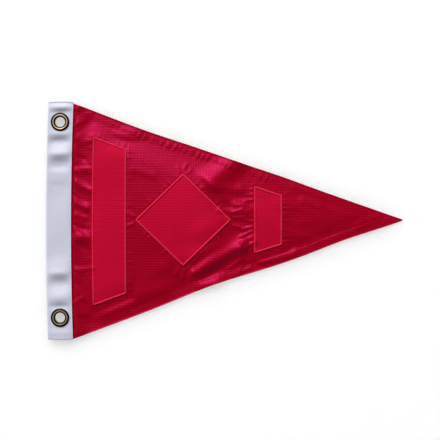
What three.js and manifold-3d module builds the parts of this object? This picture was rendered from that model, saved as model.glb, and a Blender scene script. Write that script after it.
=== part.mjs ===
// A triangular pennant flag of ripstop cloth, lying with its front up. Millimetres.
// It is a tapered fly with turned hems, a folded tape heading, two set eyelets and three sewn-on patches.
// +X runs from the hoist to the tip, +Y up the hoist and +Z out of the front; z = 0 is what it lies on.
import * as THREE from 'three';
import { mergeVertices } from 'three/addons/utils/BufferGeometryUtils.js';
import Module from 'manifold-3d';

const wasm = await Module();
wasm.setup();

// Driving sizes of the flag. Every x below is measured from the hoist, and y from the flag's middle.
const FLAG_LENGTH = 457.2; // 18 in
const HOIST = 304.8; // 12 in
const CLOTH = 1.0; // one layer of cloth
const GAP = 0.3; // between neighbouring pieces

// Heading: a tape folded over the fly's hoist edge
const HEADING_WIDTH = 32.2;
const HEADING_BOW = 3.0; // the hoist bulges this much between its ends
const BOW_Y = -8; // where it bulges most
const END_ARCH = 0.8; // rise of the heading's curved ends
const FLY_SLOT = CLOTH + 2 * GAP; // room between the tape's two layers
const FOLD_INNER = FLY_SLOT / 2;
const FOLD_OUTER = FOLD_INNER + CLOTH;
const HEADING_THICK = 2 * FOLD_OUTER;
const FLAT_STEPS = 2; // grid steps along each layer of the tape
const BEND_STEPS = 6; // grid steps round its fold

// Fly: the tapered cloth
const FLY_TOP = 150.2;
const FLY_BOTTOM = -151.4;
const TIP_Y = 0.8;
const TIP_WIDTH = 2.0;
const SEAM_TUCK = 7; // cloth held inside the heading
const MOUTH_X = HEADING_WIDTH + 0.8; // the fly tapers and falls from here on
const SEAM_FALL = 26; // length over which the cloth comes down to the surface
const BOW_FADE = 110; // length over which the heading's bow dies out
const HEM_WIDTH = 10.5;
const HEM_STEP = 1.2; // the hem's thickness ends over this width
const HEM_EXTRA = 0.8; // added by the turned layers
const HEM_ROUND = 0.4; // rounding at the folded edge
const FINE_X = 300; // columns are close up to here, and wider apart beyond
const FINE_COLUMNS = 26;
const WIDE_COLUMNS = 8;
const INNER_ROWS = 34;

// Eyelets: a barrel with a domed rim in front, curled over a washer behind
const EYELET_X = 18.4;
const EYELETS = [
  { name: 'upper', y: 126.6 },
  { name: 'lower', y: -124.0 },
];
const HOLE_R = 6.35; // half an inch across
const BARREL_R = 7.0;
const RIM_R = 11.9;
const CROWN_R = 9.4;
const RIM_HEIGHT = 1.4;
const THROAT = 0.9; // depth of the rounding into the hole
const CURL_R = 9.2;
const CURL_HEIGHT = 0.7;
const WASHER_THICK = 0.6;
const RING_SIDES = 32;
const BEND_POINTS = 4; // steps round each bend of a ring's outline
const SET_LIFT = CURL_HEIGHT + GAP + WASHER_THICK + GAP; // the heading's underside at an eyelet

// Height of the heading's underside up the hoist: crests and troughs, joined by smooth slopes
const HEADING_WAVE = [
  { y: -152.4, lift: 1.2 },
  { y: -144.0, lift: 2.4 },
  { y: -137.0, lift: SET_LIFT },
  { y: -111.0, lift: SET_LIFT },
  { y: -98.0, lift: 3.0 },
  { y: -81.0, lift: 0.0 },
  { y: -66.0, lift: 2.3 },
  { y: -42.0, lift: 0.2 },
  { y: 0.0, lift: 1.0 },
  { y: 42.0, lift: 0.0 },
  { y: 60.0, lift: 1.6 },
  { y: 73.0, lift: 0.0 },
  { y: 86.0, lift: 2.9 },
  { y: 100.5, lift: 0.0 },
  { y: 113.6, lift: SET_LIFT },
  { y: 139.6, lift: SET_LIFT },
  { y: 146.0, lift: 2.6 },
  { y: 152.4, lift: 1.2 },
];

// Where the fly's long edges draw in from a straight line (a negative dip stands out)
const TOP_DIPS = [
  { x: 125, dip: 1.3, spread: 55 },
  { x: 305, dip: -0.8, spread: 40 },
];
const BOTTOM_DIPS = [
  { x: 214, dip: 4.2, spread: 62 },
  { x: 384, dip: 2.0, spread: 42 },
];

// Folds that stand up off the surface: the crest's two ends, its half width and its height
const FOLDS = [
  { x1: 258, y1: -29, x2: 190, y2: -66, width: 9, height: 3.2 },
  { x1: 262, y1: -63, x2: 200, y2: -84, width: 8, height: 2.6 },
  { x1: 252, y1: 84, x2: 212, y2: 50, width: 14, height: 3.6 },
  { x1: 118, y1: 116, x2: 66, y2: 93, width: 12, height: 1.8 },
  { x1: 136, y1: -81, x2: 72, y2: -120, width: 12, height: 2.2 },
  { x1: 34, y1: -20, x2: 50, y2: -19, width: 6, height: 2.2 },
  { x1: 34, y1: -64, x2: 60, y2: -66, width: 5, height: 1.8 },
  { x1: 34, y1: 131, x2: 56, y2: 140, width: 6, height: 1.3 },
  { x1: 244, y1: 20, x2: 270, y2: 22, width: 6, height: 1.2 },
  { x1: 330, y1: 26, x2: 352, y2: 20, width: 8, height: 1.0 },
  { x1: 275, y1: -52, x2: 320, y2: -40, width: 6, height: 1.6 },
  { x1: 400, y1: -6, x2: 425, y2: 4, width: 8, height: 1.0 },
];
const SWELLS = [
  { x1: 170, y1: 20, x2: 90, y2: -10, width: 48, height: 1.1 },
  { x1: 290, y1: 4, x2: 262, y2: 2, width: 26, height: 0.9 },
];
const SETTLED = 0.4; // the cloth lies flat wherever its folds come to less than this
const IRONED = 6; // and smooth this far round a patch
const IRON_FADE = 12;

// Patches: two upright bars whose ends follow the hems, and a lozenge
const BARS = [
  { name: 'hoist_bar', x: 60, width: 42, inset: 34 },
  { name: 'fly_bar', x: 268, width: 34, inset: 25 },
];
const LOZENGE = { name: 'lozenge', x: 176, halfLength: 60, halfHeight: 58 };
const PATCH_STEP = 13; // size of a patch's grid squares

const clamp01 = (t) => Math.min(1, Math.max(0, t));
const ease = (t) => clamp01(t) ** 2 * (3 - 2 * clamp01(t));
const mix = (a, b, t) => a + (b - a) * t;

// How far a row of dips draws an edge in at x.
function drawnIn(dips, x) {
  const sum = dips.reduce((total, d) => total + d.dip * Math.exp(-(((x - d.x) / d.spread) ** 2)), 0);
  return sum * ease((x - MOUTH_X) / 40);
}

const alongFly = (x) => clamp01((x - MOUTH_X) / (FLAG_LENGTH - MOUTH_X));
const topEdge = (x) => mix(FLY_TOP, TIP_Y + TIP_WIDTH / 2, alongFly(x)) - drawnIn(TOP_DIPS, x);
const bottomEdge = (x) => mix(FLY_BOTTOM, TIP_Y - TIP_WIDTH / 2, alongFly(x)) + drawnIn(BOTTOM_DIPS, x);
const bowAt = (y) => HEADING_BOW * ((y - BOW_Y) / (HOIST / 2)) ** 2;

// Height of the heading's underside at y.
function headingLift(y) {
  const next = HEADING_WAVE.findIndex((row) => row.y >= y);
  if (next <= 0) return HEADING_WAVE.at(next).lift;
  const [a, b] = [HEADING_WAVE[next - 1], HEADING_WAVE[next]];
  return mix(a.lift, b.lift, ease((y - a.y) / (b.y - a.y)));
}

// Height of a soft ridge at a point: full along its crest, and falling off to both sides and ends.
function ridge(row, x, y) {
  const [dx, dy] = [row.x2 - row.x1, row.y2 - row.y1];
  const t = clamp01(((x - row.x1) * dx + (y - row.y1) * dy) / (dx * dx + dy * dy));
  const away = Math.hypot(x - row.x1 - t * dx, y - row.y1 - t * dy);
  return row.height * Math.exp(-((away / row.width) ** 2));
}

// Corners of a patch, anticlockwise, as [x, y].
function barCorners({ x, width, inset }) {
  return [
    [x, bottomEdge(x) + inset],
    [x + width, bottomEdge(x + width) + inset],
    [x + width, topEdge(x + width) - inset],
    [x, topEdge(x) - inset],
  ];
}

function lozengeCorners({ x, halfLength, halfHeight }) {
  const middle = (topEdge(x) + bottomEdge(x)) / 2;
  return [
    [x - halfLength, middle],
    [x, middle - halfHeight],
    [x + halfLength, middle],
    [x, middle + halfHeight],
  ];
}

const PATCHES = [
  ...BARS.map((bar) => ({ name: bar.name, corners: barCorners(bar) })),
  { name: LOZENGE.name, corners: lozengeCorners(LOZENGE) },
];

// Distance of a point outside a patch's edges, negative inside.
function outside(corners, x, y) {
  const past = corners.map(([ax, ay], i) => {
    const [bx, by] = corners[(i + 1) % corners.length];
    return ((y - ay) * (ax - bx) + (x - ax) * (by - ay)) / Math.hypot(bx - ax, by - ay);
  });
  return Math.max(...past);
}

// Height of the fly's underside away from the heading.
function lie(x, y) {
  const total = (rows) => rows.reduce((sum, row) => sum + ridge(row, x, y), 0);
  const nearest = Math.min(...PATCHES.map((patch) => outside(patch.corners, x, y)));
  const folded = total(SWELLS) + total(FOLDS) * ease((nearest - IRONED) / IRON_FADE);
  return Math.max(0, folded - SETTLED);
}

// Height of the fly's underside anywhere: held between the tape's layers at the heading, and lying down beyond it.
function flyUnder(x, y) {
  const held = headingLift(y) + CLOTH + GAP;
  return mix(held, lie(x, y), ease((x - MOUTH_X) / SEAM_FALL));
}

// Heights of the fly's grid rows at x: two rows in each hem, one at its step, and even rows between.
function flyRows(x) {
  const [low, high] = [bottomEdge(x), topEdge(x)];
  const squeeze = Math.min(1, (high - low) / (3 * HEM_WIDTH));
  const hem = [0, HEM_WIDTH / 2, HEM_WIDTH, HEM_WIDTH + HEM_STEP].map((offset) => offset * squeeze);
  const [first, last] = [low + hem.at(-1), high - hem.at(-1)];
  const inner = Array.from({ length: INNER_ROWS - 1 }, (_, i) => mix(first, last, (i + 1) / INNER_ROWS));
  return [...hem.map((offset) => low + offset), ...inner, ...hem.toReversed().map((offset) => high - offset)];
}

// Grid columns of the fly: three in the seam, close ones over the folds, then wider ones to the tip.
function flyColumns() {
  const steps = (from, to, count) => Array.from({ length: count }, (_, i) => mix(from, to, (i + 1) / count));
  return [
    HEADING_WIDTH - SEAM_TUCK,
    MOUTH_X,
    ...steps(MOUTH_X, FINE_X, FINE_COLUMNS),
    ...steps(FINE_X, FLAG_LENGTH, WIDE_COLUMNS),
  ];
}

// A closed sheet: a box's grid whose points are moved to place(column, row, outer).
function sheet(columns, rows, place) {
  const box = new THREE.BoxGeometry(1, 1, 1, columns, rows, 1);
  const points = box.getAttribute('position');
  for (let i = 0; i < points.count; i += 1) {
    const column = Math.round((points.getX(i) + 0.5) * columns);
    const row = Math.round((points.getY(i) + 0.5) * rows);
    points.setXYZ(i, ...place(column, row, points.getZ(i) > 0));
  }
  box.deleteAttribute('normal');
  box.deleteAttribute('uv');
  return mergeVertices(box);
}

function toSolid(geometry) {
  const bare = geometry.clone();
  bare.deleteAttribute('normal');
  bare.deleteAttribute('uv');
  const merged = mergeVertices(bare);
  return new wasm.Manifold(
    new wasm.Mesh({
      numProp: 3,
      vertProperties: merged.getAttribute('position').array,
      triVerts: new Uint32Array(merged.index.array),
    }),
  );
}

function toGeometry(solid) {
  const { vertProperties, triVerts } = solid.getMesh();
  const geometry = new THREE.BufferGeometry();
  geometry.setAttribute('position', new THREE.BufferAttribute(vertProperties, 3));
  geometry.setIndex(new THREE.BufferAttribute(triVerts, 1));
  geometry.computeVertexNormals();
  return geometry;
}

// The fly: one cloth, thicker in its hems and rounded at its folded edges.
function makeFly() {
  const columns = flyColumns();
  const rowsAt = columns.map(flyRows);
  return sheet(columns.length - 1, rowsAt[0].length - 1, (column, row, front) => {
    const x = columns[column];
    const y = rowsAt[column][row];
    const fromEdge = Math.min(y - bottomEdge(x), topEdge(x) - y);
    const pastMouth = ease((x - MOUTH_X) / 5);
    const extra = HEM_EXTRA * pastMouth * (1 - ease((fromEdge - HEM_WIDTH) / HEM_STEP));
    const rounding = row === 0 || row === rowsAt[column].length - 1 ? HEM_ROUND * pastMouth : 0;
    const under = flyUnder(x, y);
    const bow = bowAt(y) * (1 - ease((x - MOUTH_X) / BOW_FADE));
    return [x + bow, y, front ? under + CLOTH + extra - rounding : under + rounding];
  });
}

// The heading: a tape bent round the hoist into two layers, with a hole for each eyelet.
// Its rows are the fly's own at the seam, so that the held cloth stays clear of both layers.
function makeHeading() {
  const rows = [-HOIST / 2, ...flyRows(MOUTH_X), HOIST / 2];
  const columns = 2 * FLAT_STEPS + BEND_STEPS;
  const tape = sheet(columns, rows.length - 1, (column, row, outer) => {
    const radius = outer ? FOLD_OUTER : FOLD_INNER;
    const turn = Math.PI * clamp01((column - FLAT_STEPS) / BEND_STEPS);
    const fromFold = Math.max(0, FLAT_STEPS - column, column - FLAT_STEPS - BEND_STEPS) / FLAT_STEPS;
    const x = mix(FOLD_OUTER - radius * Math.sin(turn), HEADING_WIDTH, fromFold);
    const middle = HEADING_WIDTH / 2 + FOLD_OUTER / 2;
    const atEnd = row === 0 || row === rows.length - 1;
    const arch = atEnd ? END_ARCH * ((x - middle) / middle) ** 2 : 0;
    const y = rows[row] - Math.sign(rows[row]) * arch;
    return [x + bowAt(y), y, headingLift(y) + FOLD_OUTER - radius * Math.cos(turn)];
  });
  const punched = EYELETS.reduce((solid, { y }) => {
    const punch = new THREE.CylinderGeometry(BARREL_R + GAP, BARREL_R + GAP, 4 * HEADING_THICK, RING_SIDES);
    punch.rotateX(Math.PI / 2);
    punch.translate(EYELET_X, y, 0);
    return solid.subtract(toSolid(punch));
  }, toSolid(tape));
  return toGeometry(punched);
}

// A ring turned about +Z from a closed outline of radius and height.
function turned(outline) {
  const ring = new THREE.LatheGeometry(outline.getPoints(BEND_POINTS), RING_SIDES);
  ring.rotateX(Math.PI / 2);
  return toGeometry(toSolid(ring));
}

// The eyelet: a flat curl behind, a barrel through both layers of tape, and a domed rim in front.
function makeEyelet() {
  const rimUnder = SET_LIFT + HEADING_THICK + GAP;
  const crown = rimUnder + RIM_HEIGHT;
  const outline = new THREE.Path();
  outline.moveTo(HOLE_R, CURL_HEIGHT);
  outline.quadraticCurveTo(HOLE_R, 0, BARREL_R, 0);
  outline.lineTo(CURL_R - CURL_HEIGHT, 0);
  outline.quadraticCurveTo(CURL_R, 0, CURL_R, CURL_HEIGHT);
  outline.lineTo(BARREL_R, CURL_HEIGHT);
  outline.lineTo(BARREL_R, rimUnder);
  outline.lineTo(RIM_R, rimUnder);
  outline.quadraticCurveTo(RIM_R, crown, CROWN_R, crown);
  outline.quadraticCurveTo(HOLE_R, crown, HOLE_R, rimUnder - THROAT);
  outline.closePath();
  return turned(outline);
}

// The washer that the barrel is curled over.
function makeWasher() {
  const low = CURL_HEIGHT + GAP;
  const outline = new THREE.Path();
  outline.moveTo(BARREL_R + GAP, low);
  outline.lineTo(RIM_R - WASHER_THICK, low);
  outline.quadraticCurveTo(RIM_R, low, RIM_R, low + WASHER_THICK / 2);
  outline.quadraticCurveTo(RIM_R, low + WASHER_THICK, RIM_R - WASHER_THICK, low + WASHER_THICK);
  outline.lineTo(BARREL_R + GAP, low + WASHER_THICK);
  outline.closePath();
  return turned(outline);
}

// A patch: one layer of cloth lying on the fly's front, stretched between four corners.
function makePatch(corners) {
  const span = (a, b) => Math.max(2, Math.round(Math.hypot(b[0] - a[0], b[1] - a[1]) / PATCH_STEP));
  const [columns, rows] = [span(corners[0], corners[1]), span(corners[0], corners[3])];
  return sheet(columns, rows, (column, row, front) => {
    const [x, y] = [0, 1].map((axis) => {
      const low = mix(corners[0][axis], corners[1][axis], column / columns);
      const high = mix(corners[3][axis], corners[2][axis], column / columns);
      return mix(low, high, row / rows);
    });
    const bow = bowAt(y) * (1 - ease((x - MOUTH_X) / BOW_FADE));
    return [x + bow, y, flyUnder(x, y) + CLOTH + GAP + (front ? CLOTH : 0)];
  });
}

const crimson = new THREE.MeshStandardMaterial({ color: 0xab0a36, roughness: 0.5, metalness: 0 });
const scarlet = new THREE.MeshStandardMaterial({ color: 0xbd1030, roughness: 0.5, metalness: 0 });
const white = new THREE.MeshStandardMaterial({ color: 0xd6dae6, roughness: 0.8, metalness: 0 });
const brass = new THREE.MeshStandardMaterial({ color: 0xa88560, roughness: 0.3, metalness: 1 });

const laid = new THREE.Group();
laid.position.x = -FLAG_LENGTH / 2;

function add(name, geometry, material, x = 0, y = 0) {
  const mesh = new THREE.Mesh(geometry, material);
  mesh.name = name;
  mesh.position.set(x, y, 0);
  laid.add(mesh);
}

add('fly_cloth', makeFly(), crimson);
add('heading', makeHeading(), white);
for (const patch of PATCHES) add(patch.name, makePatch(patch.corners), scarlet);
for (const { name, y } of EYELETS) {
  add(`${name}_eyelet`, makeEyelet(), brass, EYELET_X, y);
  add(`${name}_washer`, makeWasher(), brass, EYELET_X, y);
}

const flag = new THREE.Group();
flag.add(laid);

export default flag;
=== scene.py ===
# Pennant flag laid face up: ripstop fly, folded tape heading, brass eyelets, sewn-on patches. Metres.
import bpy
import numpy as np
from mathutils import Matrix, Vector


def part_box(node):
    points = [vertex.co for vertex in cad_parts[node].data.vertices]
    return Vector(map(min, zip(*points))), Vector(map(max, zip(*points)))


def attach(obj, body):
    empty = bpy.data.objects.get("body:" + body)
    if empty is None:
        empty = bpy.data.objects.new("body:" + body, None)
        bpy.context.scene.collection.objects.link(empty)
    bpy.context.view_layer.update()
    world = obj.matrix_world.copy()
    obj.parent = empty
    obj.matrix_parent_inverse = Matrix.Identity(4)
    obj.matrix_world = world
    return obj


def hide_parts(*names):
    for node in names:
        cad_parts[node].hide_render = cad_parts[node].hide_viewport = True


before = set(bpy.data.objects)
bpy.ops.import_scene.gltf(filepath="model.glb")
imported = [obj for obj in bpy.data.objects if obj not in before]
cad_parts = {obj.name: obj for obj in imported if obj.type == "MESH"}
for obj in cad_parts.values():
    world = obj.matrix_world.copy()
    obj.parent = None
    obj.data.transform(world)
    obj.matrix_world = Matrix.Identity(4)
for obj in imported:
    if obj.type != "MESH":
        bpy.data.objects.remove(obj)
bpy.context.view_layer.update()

mm = 0.001
tau = 2 * np.pi


def nodeBox(name):
    # low and high corners of a solid, as arrays
    return [np.array(corner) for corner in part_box(name)]


flyLow, flyHigh = nodeBox("fly_cloth")
headingLow, headingHigh = nodeBox("heading")
hoistX = headingLow[0]
flagLength = flyHigh[0] - hoistX
halfHoist = headingHigh[1]

# x is measured from the hoist in all the shapes below, and y from the flag's middle

flag = {
    "clothThick": 0.4 * mm,  # what shows of one layer
    "mouthX": 33.0 * mm,  # the heading's inner edge
    "slotX": 25.2 * mm,  # the fly starts here, inside the heading
    "seamFall": 26 * mm,  # the cloth comes down to the surface over this length
    "seamHeight": 1.15 * mm,  # its underside over the heading's, inside the seam
    "bow": 3.0 * mm,  # bulge of the hoist
    "bowY": -8 * mm,
    "bowFade": 110 * mm,
    "tipY": 0.8 * mm,
    "tipWidth": 2.0 * mm,
    "settled": 0.4 * mm,  # this much of a fold lies flat
    "ironed": 6 * mm,  # the folds are gone this near a patch
    "ironFade": 12 * mm,
    # air under the cloth along the top and the bottom edge: height, distance in, and outer slope
    "billows": ((3.8 * mm, 46 * mm, 27 * mm), (2.6 * mm, 52 * mm, 26 * mm)),
    "slack": 90 * mm,  # its slope towards the middle
    "billowEnd": 262 * mm,
    "crown": 0.05,  # beyond the billow the cloth rises to its middle, by this share of its half width
    "crownStart": 225 * mm,
    "comeIn": 40 * mm,  # the dips, the billow and the firmer hem come in over this length
    "longFade": 60 * mm,  # the billow, the crown and the hems' puckers come and go over this one
}
hem = {
    "width": 10.5 * mm,
    "step": 1.8 * mm,
    "extra": 0.26 * mm,  # over one layer's thickness
    "extraRise": 4 * mm,  # from the mouth
    "firmer": 0.2 * mm,  # more in the bottom hem towards the tip
    "firmerStart": 285 * mm,
    "edgeRound": 0.5 * mm,
    "bead": 0.45 * mm,  # the folded edge stands up a little
    "beadWidth": 1.7 * mm,
    "curls": (0.1 * mm, 0.8 * mm),  # and the hem lifts a little off the surface, top and bottom
    "curlReach": 9 * mm,
    "curlSpacing": 70 * mm,
    "curlLeast": 0.55,
    "sewing": 9.0 * mm,  # how far in from the edge it runs
    "groove": 0.2 * mm,
    "grooveWidth": 0.7 * mm,
    "pucker": 0.62 * mm,
    "puckerSpacing": 7.4 * mm,
    "puckerSlant": 0.5,
    "puckerReach": 4 * mm,
    "puckerLeast": 0.2,
    "puckered": ((75 * mm, 320 * mm, 1.0), (130 * mm, 300 * mm, 0.7)),  # start, end and share, top and bottom
}
seam = {
    "pucker": 1.1 * mm,
    "puckerSpacing": 9.5 * mm,
    "puckerLength": 10 * mm,
    "slant": 0.7,  # the puckers fall away from the seam
    "turned": (1.7, 75 * mm, 50 * mm),  # and rise at its upper end: share of the slant, start and length
    "broad": 1.3 * mm,
    "broadSpacing": 24 * mm,
    "broadLength": 20 * mm,
    "broadStart": 5 * mm,
    "creaseStart": 3 * mm,
    "fine": 0.5 * mm,
    "fineSpacing": 4.6 * mm,
    "fineLength": 3.5 * mm,
    "valley": 1.0 * mm,  # the cloth dips where it comes out of the heading
    "valleyAt": 1.6 * mm,
    "valleyWidth": 1.3 * mm,
    "wavesInside": 6 * mm,  # the waves run this far in under the tape
}
patchCloth = {
    "thick": 0.35 * mm,
    "gap": 0.12 * mm,
    "gridStep": 1.6 * mm,
    "puckerSpacing": 6.8 * mm,
    "puckerRise": (1 * mm, 2 * mm),  # from the sewing: start and length
    "outside": {"pucker": 1.7 * mm, "length": 4.8 * mm, "share": (0.45, 0.75), "slow": 42 * mm, "seed": 51},
    "inside": {"pucker": 0.6 * mm, "length": 5 * mm, "share": (0.3, 0.9), "slow": 33 * mm, "seed": 61},
}
heading = {
    "width": 32.2 * mm,
    "foldOuter": 1.8 * mm,
    "tapeThick": 0.85 * mm,
    "endArch": 0.8 * mm,
    "archReach": 9 * mm,
    "pinch": 0.2 * mm,  # the sewing draws the two layers together at the mouth
    "pinchReach": 6 * mm,
    "holeRadius": 8.4 * mm,
    "sewing": 30.3 * mm,  # from the fold
    "groove": 0.2 * mm,
    "grooveWidth": 0.7 * mm,
    "calm": 0.9 * mm,  # its lift at the fold and the seam
    # and its steps there towards the ends: height, start and length
    "calmSteps": ((1.0 * mm, 70 * mm, 35 * mm), (-0.6 * mm, 142 * mm, 11 * mm)),
    "edgeShare": 0.1,  # of the wave, at the fold and the seam
    "middleShare": 1.2,
}

# Height of the heading's underside up the hoist, in millimetres: (y, lift)
headingWave = np.array([
    (-152.4, 1.2), (-144, 2.4), (-137, 1.9), (-111, 1.9), (-98, 3.0), (-81, 0),
    (-66, 2.3), (-42, 0.2), (0, 1.0), (42, 0), (60, 1.6), (73, 0),
    (86, 2.9), (100.5, 0), (113.6, 1.9), (139.6, 1.9), (146, 2.6), (152.4, 1.2),
]) * mm

# Where the long edges draw in, in millimetres: (x, dip, spread)
topDips = np.array([(125, 1.3, 55), (305, -0.8, 40)]) * mm
bottomDips = np.array([(214, 4.2, 62), (384, 2.0, 42)]) * mm

# The solid's folds, in millimetres: (x1, y1, x2, y2, half width, height)
folds = np.array([
    (258, -29, 190, -66, 9, 3.2),
    (262, -63, 200, -84, 8, 2.6),
    (252, 84, 212, 50, 14, 3.6),
    (118, 116, 66, 93, 12, 1.8),
    (136, -81, 72, -120, 12, 2.2),
    (34, -20, 50, -19, 6, 2.2),
    (34, -64, 60, -66, 5, 1.8),
    (34, 131, 56, 140, 6, 1.3),
    (244, 20, 270, 22, 6, 1.2),
    (330, 26, 352, 20, 8, 1.0),
    (275, -52, 320, -40, 6, 1.6),
    (400, -6, 425, 4, 8, 1.0),
]) * mm
swells = np.array([
    (170, 20, 90, -10, 48, 1.1),
    (290, 4, 262, 2, 26, 0.9),
]) * mm

# Finer creases in the cloth, a negative height for a trough: (x1, y1, x2, y2, half width, height)
creases = np.array([
    (34, 60, 56, 62, 2.5, 0.5), (34, 27, 52, 20, 3.0, 0.9),
    (34, 12, 50, 13, 3.5, 0.9), (34, 1, 46, 0, 3.0, 0.7),
    (34, 40, 47, 42, 3.0, 0.5), (112, -88, 150, -62, 10, 0.7),
    (128, -99, 168, -76, 9, 0.5), (236, -52, 262, -36, 4, 0.6),
    (214, -84, 246, -70, 4, 0.6), (112, 66, 138, 58, 5, 0.5),
    (228, 30, 262, 14, 5, 0.6), (236, -4, 262, -10, 4, 0.6),
    (318, 44, 352, 30, 5, 0.4), (312, -34, 368, -14, 5, -0.5),
    (268, -62, 232, -75, 8, -2.2), (252, -32, 196, -62, 6, 0.3),
    (205, 43, 249, 40, 6, 1.0), (222, 13, 256, 11, 3.5, 0.9),
    (236, -60, 252, -48, 3, 0.9), (246, -24, 190, -46, 9, 0.9),
    (255, 11, 198, -14, 12, 1.3), (203, -75, 243, -44.5, 5, -0.7),
    (118, 116, 66, 93, 12, -0.6), (136, -81, 72, -120, 12, -1.8),
    (146, -88, 75, -115, 12, 1.9), (298, 24, 352, 9, 7, 0.5),
    (303, -12, 346, -26, 6, 0.5), (330, -2, 386, 4, 8, 0.45),
    (352, 17, 404, 5, 5, 0.3), (228, -6, 250, 2, 5, -0.5),
    (248, -35, 266, -25, 6, 1.5),
    # and the short wrinkles that the patches' sewing draws in the cloth
    (240, 11, 252, 15, 1.7, 0.8), (242, 4, 256, 5, 1.6, 0.7),
    (241, -6, 252, -10, 1.7, 0.8), (250, 2, 265, 0, 1.6, 0.7),
    (252, -11, 265, -7, 1.7, 0.9), (250, -20, 265, -13, 1.8, 1.1),
    (250, -28, 265, -20, 1.7, 1.0), (254, -36, 266, -28, 1.7, 0.9),
    (256, 26, 265, 27, 1.6, 0.7), (172, 64, 169, 69, 1.8, 0.35),
    (178, 66, 180, 72, 1.8, 0.45), (184, 62, 186, 66, 1.8, 0.3),
    (171, -61, 166, -70, 2.0, 0.7), (177, -63, 176, -73, 2.0, 0.8),
    (184, -60, 188, -68, 2.0, 0.7), (112, 6, 105, 9, 1.8, 0.7),
    (112, -4, 105, -6, 1.8, 0.7),
]) * mm

# Creases that run out of the seam, placed the same way
seamCreases = np.array([
    (36, 95, 59, 107, 4, 0.5), (38, 119, 56, 127, 5, -0.3),
    (34, 131, 56, 140, 6, -0.6), (37, 82, 48, 79, 2.5, -0.8),
    (36, 65, 51, 66, 4, 1.1), (38, 49, 56, 39, 4, 1.4),
    (37, 22, 54, 16, 3, 1.3), (37, 8, 51, 4, 2.6, 1.1),
    (36, -1, 48, -6, 2.2, 0.8), (34, -24, 52, -21.5, 8, 1.9),
    (34, -63, 60, -61, 2.0, 0.8), (36, -104, 46, -99, 2.4, 0.9),
    (36, -118, 49, -120, 3, 0.8),
]) * mm

# The front layer of the tape bulges or sinks a little on its own, in millimetres: (y, height, spread)
frontWaves = np.array([
    (145, 1.4, 4), (138.5, -0.6, 3), (111, 0.8, 3.5), (101.5, -1.1, 4), (86, 0.9, 5),
    (68.5, -1.0, 5), (59, -0.7, 6), (30, -0.2, 8), (-20, 0.2, 14), (-67, 1.1, 5),
    (-80, -0.4, 6), (-100.5, 0.3, 5), (-110, -1.1, 4), (-152.4, 1.2, 4.5),
]) * mm

patches = {
    "hoist_bar": {"x": 60 * mm, "width": 42 * mm, "inset": 34 * mm},
    "lozenge": {"x": 176 * mm, "halfLength": 60 * mm, "halfHeight": 58 * mm},
    "fly_bar": {"x": 268 * mm, "width": 34 * mm, "inset": 25 * mm},
}


def ease(t):
    # three t squared less two t cubed, held at 0 below 0 and at 1 above 1
    t = np.clip(t, 0, 1)
    return t * t * (3 - 2 * t)


def bell(t):
    # e to the power of minus t squared
    return np.exp(-np.square(t))


def stacked(*parts):
    # the parts side by side in a new last axis
    return np.stack(np.broadcast_arrays(*parts), axis=-1)


def longEdge(x, start, side, dips):
    # straight from the hoist to the tip, drawn in by the dips' bells; side is 1 at the top, -1 at the bottom
    past = x - flag["mouthX"]
    end = flag["tipY"] + side * flag["tipWidth"] / 2
    drawn = sum(dip * bell((x - at) / spread) for at, dip, spread in dips) * ease(past / flag["comeIn"])
    return start + (end - start) * np.clip(past / (flagLength - flag["mouthX"]), 0, 1) - side * drawn


def topEdge(x):
    # y of the top long edge
    return longEdge(x, flyHigh[1], 1, topDips)


def bottomEdge(x):
    # y of the bottom long edge
    return longEdge(x, flyLow[1], -1, bottomDips)


def bowAt(x, y):
    # the hoist's parabola in y, dying out along the fly
    parabola = flag["bow"] * np.square((y - flag["bowY"]) / halfHoist)
    return parabola * (1 - ease((x - flag["mouthX"]) / flag["bowFade"]))


def headingLift(y):
    # the two nearest rows of the wave, joined by an eased slope
    at = np.clip(np.searchsorted(headingWave[:, 0], y), 1, len(headingWave) - 1)
    a, b = headingWave[at - 1], headingWave[at]
    t = ease((y - a[..., 0]) / (b[..., 0] - a[..., 0]))
    return a[..., 1] + (b[..., 1] - a[..., 1]) * t


def calmLift(y):
    # the lift at the tape's fold and its seam, in eased steps: they hold it straighter than its middle
    steps = sum(height * ease((np.abs(y) - start) / length) for height, start, length in heading["calmSteps"])
    return heading["calm"] + steps


def liftAt(x, y):
    # the wave is strongest in mid-tape and less, on a parabola, at its fold and its seam, and never below 0
    middle = np.clip(1 - np.square(2 * x / heading["width"] - 1), 0, 1)
    share = heading["edgeShare"] + (heading["middleShare"] - heading["edgeShare"]) * middle
    return np.maximum(0, calmLift(y) + (headingLift(y) - calmLift(y)) * share)


def ridges(rows, x, y):
    # sum of soft ridges: height times a bell of the distance from the crest's line
    total = np.zeros(np.broadcast(x, y).shape)
    for x1, y1, x2, y2, width, height in rows:
        dx, dy = x2 - x1, y2 - y1
        t = np.clip(((x - x1) * dx + (y - y1) * dy) / (dx * dx + dy * dy), 0, 1)
        total += height * bell(np.hypot(x - x1 - t * dx, y - y1 - t * dy) / width)
    return total


def patchCorners(name):
    # a bar's ends follow the two long edges at its inset, and a lozenge's corners lie on its two axes
    patch = patches[name]
    x = patch["x"]
    if "width" in patch:
        far, inset = x + patch["width"], patch["inset"]
        corners = [
            (x, bottomEdge(x) + inset), (far, bottomEdge(far) + inset),
            (far, topEdge(far) - inset), (x, topEdge(x) - inset),
        ]
    else:
        middle = (topEdge(x) + bottomEdge(x)) / 2
        half, rise = patch["halfLength"], patch["halfHeight"]
        corners = [(x - half, middle), (x, middle - rise), (x + half, middle), (x, middle + rise)]
    return np.array(corners)


corners = {name: patchCorners(name) for name in patches}


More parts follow.
